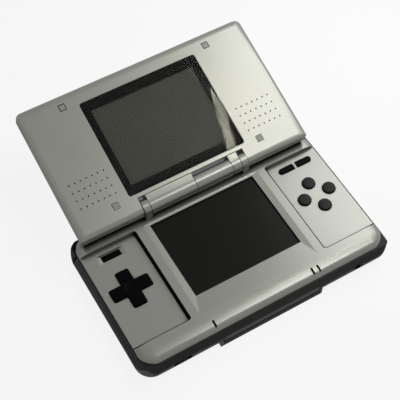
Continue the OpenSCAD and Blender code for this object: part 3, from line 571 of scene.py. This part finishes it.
paint(button_black, "dpad_post")
cross_x, cross_y, cross_top = -0.0564, 0.0026, 0.0151
reach, half_arm = 0.0108, 0.0035
bow_depth = 0.00035
end_band = 0.0006
# places nearer to each other than this are one place
hair = 1e-5

bpy.ops.mesh.primitive_grid_add(x_subdivisions=3, y_subdivisions=3, size=2 * reach,
                                location=(0, 0, 0))
cross = bpy.context.object
cross.name = "direction_cross"
only(cross)
bpy.ops.object.mode_set(mode="EDIT")
inner = reach / 3
pick(cross, "faces", lambda c, f: abs(c.x) > inner and abs(c.y) > inner)
bpy.ops.mesh.delete(type="FACE")
pick(cross, "verts", lambda c, v: abs(abs(c.x) - inner) < hair)
bpy.ops.transform.resize(value=(half_arm / inner, 1, 1))
pick(cross, "verts", lambda c, v: abs(abs(c.y) - inner) < hair)
bpy.ops.transform.resize(value=(1, half_arm / inner, 1))
# arm ends bow out a little
pick(cross, "edges", lambda c, e: max(abs(c.x), abs(c.y)) > reach - hair)
bpy.ops.mesh.subdivide(number_cuts=5)
for sx, sy in ((1, 0), (-1, 0), (0, 1), (0, -1)):
    for step in range(1, 4):
        off = half_arm * (1 - step / 3)
        pick(cross, "verts", lambda c, v: sx * c.x + sy * c.y > reach - hair - end_band
             and abs(abs(sx * c.y + sy * c.x) - off) < hair)
        bow = bow_depth * (1 - (off / half_arm) ** 2)
        bpy.ops.transform.translate(value=(sx * (bow - bow_depth), sy * (bow - bow_depth), 0))
    pick(cross, "verts", lambda c, v: sx * c.x + sy * c.y > reach - hair - end_band
         and abs(abs(sx * c.y + sy * c.x) - half_arm) < hair)
    bpy.ops.transform.translate(value=(-bow_depth * sx, -bow_depth * sy, 0))
bpy.ops.mesh.select_all(action="SELECT")
bpy.ops.mesh.extrude_region_move(TRANSFORM_OT_translate={"value": (0, 0, -0.0035)})
bpy.ops.mesh.select_all(action="SELECT")
bpy.ops.mesh.normals_make_consistent(inside=False)


def upright(edge):
    """Whether an edge runs straight down the side of the cross."""
    a, b = edge.verts
    return (a.co.xy - b.co.xy).length < 1e-6


pick(cross, "edges", lambda c, e: upright(e) and abs(abs(c.x) - half_arm) < hair
     and abs(abs(c.y) - half_arm) < hair)
bpy.ops.mesh.bevel(offset=0.0006, segments=3, affect="EDGES")
pick(cross, "edges", lambda c, e: upright(e) and (
     (abs(abs(c.x) - half_arm) < hair and abs(c.y) > reach - end_band)
     or (abs(abs(c.y) - half_arm) < hair and abs(c.x) > reach - end_band)))
bpy.ops.mesh.bevel(offset=0.0011, segments=4, affect="EDGES")
pick(cross, "edges", lambda c, e: c.z > -1e-6 and len(e.link_faces) == 2
     and min(f.normal.z for f in e.link_faces) < 0.5)
bpy.ops.mesh.bevel(offset=0.00055, segments=4, affect="EDGES")
# flange under the panel
pick(cross, "faces", lambda c, f: f.normal.z < -0.9)
bpy.ops.mesh.extrude_region_move(TRANSFORM_OT_translate={"value": (0, 0, -0.0001)})
bpy.ops.transform.resize(value=(1.07, 1.07, 1))
bpy.ops.mesh.extrude_region_move(TRANSFORM_OT_translate={"value": (0, 0, -0.0005)})
bpy.ops.object.mode_set(mode="OBJECT")
# thumb dish, and the socket that the boss turns in
for name, centre, radius in (("dish", (0, 0, 0.0146), 0.0150), ("seat", (0, 0, -0.00355), 0.0012)):
    bpy.ops.mesh.primitive_uv_sphere_add(segments=64, ring_count=96, radius=radius, location=centre)
    ball = bpy.context.object
    only(cross)
    cut = cross.modifiers.new(name, "BOOLEAN")
    cut.object = ball
    bpy.ops.object.modifier_apply(modifier=name)
    bpy.data.objects.remove(ball)
cross.location = (cross_x, cross_y, cross_top)
only(cross)
bpy.ops.object.transform_apply(location=True, rotation=True, scale=True)
bpy.ops.object.shade_smooth_by_angle(angle=radians(30))
dressed(cross, "cross_pad", "button_plastic", button_black, "dpad")

# ---- four face buttons ----
# Low domed caps with a rounded rim, one moulding used four times. The letters that such caps
# carry are left off.

# the rim's height, from which the dome rises, and the flange's upper side, under the panel
rim_z, flange_z = -0.0003, -0.00295
bpy.ops.mesh.primitive_cylinder_add(vertices=64, radius=0.00355, depth=rim_z - flange_z,
                                    location=(0, 0, (rim_z + flange_z) / 2))
cap = bpy.context.object
cap.name = "cap"
only(cap)
bpy.ops.object.transform_apply(location=True, rotation=True, scale=True)
bpy.ops.object.mode_set(mode="EDIT")
pick(cap, "faces", lambda c, f: f.normal.z > 0.9)
for step, rise in ((0.0006, 0.00011), (0.0007, 0.00009), (0.0008, 0.00006), (0.0008, 0.00003)):
    bpy.ops.mesh.inset(thickness=step)
    bpy.ops.transform.translate(value=(0, 0, rise))
pick(cap, "edges", lambda c, e: abs(c.z - rim_z) < hair and c.xy.length > 0.0034)
bpy.ops.mesh.bevel(offset=0.00042, segments=5, affect="EDGES")
pick(cap, "faces", lambda c, f: f.normal.z < -0.9)
bpy.ops.mesh.extrude_region_move(TRANSFORM_OT_translate={"value": (0, 0, -0.00005)})
bpy.ops.transform.resize(value=(1.22, 1.22, 1))
bpy.ops.mesh.extrude_region_move(TRANSFORM_OT_translate={"value": (0, 0, -0.0006)})
bpy.ops.object.mode_set(mode="OBJECT")
bpy.ops.object.shade_smooth_by_angle(angle=radians(40))
cap_black = finish("cap_black", (0.0085, 0.0085, 0.0080), 0.42, 3500, 0.10, 0.14,
                   (0.020, 0.020, 0.020), Specular_IOR_Level=0.12)
for side, dx, dy in (("back", 0, 0.00785), ("right", 0.00775, 0), ("front", 0, -0.00785),
                     ("left", -0.00775, 0)):
    button = bpy.data.objects.new("cap_" + side, cap.data.copy())
    scene.collection.objects.link(button)
    button.location = (0.0559 + dx, 0.00285 + dy, 0.0152)
    only(button)
    bpy.ops.object.transform_apply(location=True, rotation=True, scale=True)
    dressed(button, "face_" + side, "button_plastic", cap_black, "face_button_" + side)
bpy.data.objects.remove(cap)

# ---- select, start and power ----
# Two pills with one round end each, and a flat power button sunk in its scoop.

for body in ("select", "start", "power"):
    key = softened(copied(body + "_button", body + "_key"), 0.00028, 4)
    dressed(key, body, "button_plastic", button_black, body + "_button")

# ---- shoulder buttons ----
# Hollow black corners of the case that turn on steel pins at their inner ends.

shoulder_black = finish("shoulder_black", (0.0060, 0.0060, 0.0064), 0.32, 4500, 0.12, 0.10,
                        (0.016, 0.016, 0.017), Specular_IOR_Level=0.14)
pin_steel = finish("turned_steel", (0.55, 0.55, 0.54), 0.26, 6000, 0.1, 0.05, Metallic=1.0)
for side in ("left", "right"):
    dressed(softened(copied("shoulder_button_" + side, "shoulder_" + side + "_key"), 0.0003, 3),
            "shoulder_" + side, "shoulder_plastic", shoulder_black, "shoulder_button_" + side)
paint(pin_steel, "shoulder_pin_left", "shoulder_pin_right")

# ---- stylus ----
# A plain black rod with a ball point, pushed in from the back.

dressed(softened(copied("stylus", "pen_rod"), 0.00025, 3), "pen", "button_plastic",
        button_black, "stylus")

# ---- hinge ----
# Two steel pins turn in the ears and the middle barrel, where a steel sleeve holds the click
# spring.

paint(pin_steel, "hinge_sleeve", "hinge_pin_left", "hinge_pin_right")

# ---- lid's outer shell ----
# The back of the lid, in the same silver paint, with a larger roll along its outer edges.

dressed(softened(copied("lid_outer_shell", "lid_back"), 0.0003, 2), "lid", "silver_paint",
        silver, "lid_outer_shell")

# ---- speakers, upper display and its cable ----
# Two round speakers lie behind the hole fields. The display sits in a steel tray behind the
# window, and its flat cable is rolled up in the left knuckle.

basket = finish("speaker_basket", (0.030, 0.030, 0.034), 0.4, 2500, 0.1, 0.1,
                Specular_IOR_Level=0.4)
amber = finish("polyimide_film", (0.42, 0.17, 0.030), 0.35, 1500, 0.03, 0.08,
               Specular_IOR_Level=0.5)
paint(basket, "speaker_left", "speaker_right")
paint(display, "upper_lcd")
paint(amber, "display_ribbon")

# ---- lid's inner cover ----
# The face around the upper screen, with two fields of 28 speaker holes, four seats for bumpers
# and the two hinge knuckles with their flat tops.

dressed(softened(copied("lid_inner_cover", "lid_face"), 0.00018, 2), "lid", "silver_paint",
        silver, "lid_inner_cover")

# ---- upper window ----
# A clear acrylic plate set flush in the lid, its rim chamfered, with a gloss black border
# printed on its back around the display.

ink = finish("gloss_black_ink", (0.0018, 0.0018, 0.0018), 0.3, 2500, 0.01, 0.1,
             crevice_shade=0, Specular_IOR_Level=0.02)
paint(ink, "window_mask")
acrylic = finish("clear_acrylic", (0.93, 0.94, 0.92), 0.02, 2500, 0.0, 0.0,
                 crevice_shade=0, IOR=1.12, Transmission_Weight=1.0)
tree = acrylic.node_tree
through = tree.nodes.new("ShaderNodeBsdfTransparent")
through.inputs["Color"].default_value = (0.93, 0.94, 0.92, 1)
path = tree.nodes.new("ShaderNodeLightPath")
mixed = tree.nodes.new("ShaderNodeMixShader")
links(tree, (path, "Is Shadow Ray", mixed, 0), (tree.nodes["Principled BSDF"], 0, mixed, 1),
      (through, 0, mixed, 2), (mixed, 0, tree.nodes["Material Output"], "Surface"))
dressed(softened(copied("upper_window", "window_plate"), 0.00025, 2), "lid", "window_plastic",
        acrylic, "upper_window")

# ---- bumpers and the screws under them ----
# Four square rubber pads are pressed into seats over the lid's screws. The two at the far edge
# have their sloping sides painted near-black, as painted shade around their tops.

pad_rubber = finish("pad_rubber", (0.46, 0.46, 0.43), 0.6, 3000, 0.1, 0.05,
                    Specular_IOR_Level=0.2)
pad_side_shade = finish("pad_side_shade", (0.020, 0.020, 0.020), 0.7, 3000, 0.1, 0.05,
                  Specular_IOR_Level=0.1)
paint(zinc, "lid_screws")
pads = softened(copied("lid_pads", "bumpers"), 0.0006, 3, inside=lambda c: c.y > 0.08)
pads = softened(pads, 0.0002, 2, inside=lambda c: c.y < 0.08)
dressed(pads, "lid", "pad_rubber", pad_rubber, "lid_pads")
# painted shade: the sloping sides of the two far pads get a near-black finish
pads.data.materials.append(pad_side_shade)
lid_up = Vector((0, -sin(radians(16.65)), cos(radians(16.65))))
for face in pads.data.polygons:
    if face.center.y > 0.08 and face.normal.dot(lid_up) < 0.93:
        face.material_index = 1
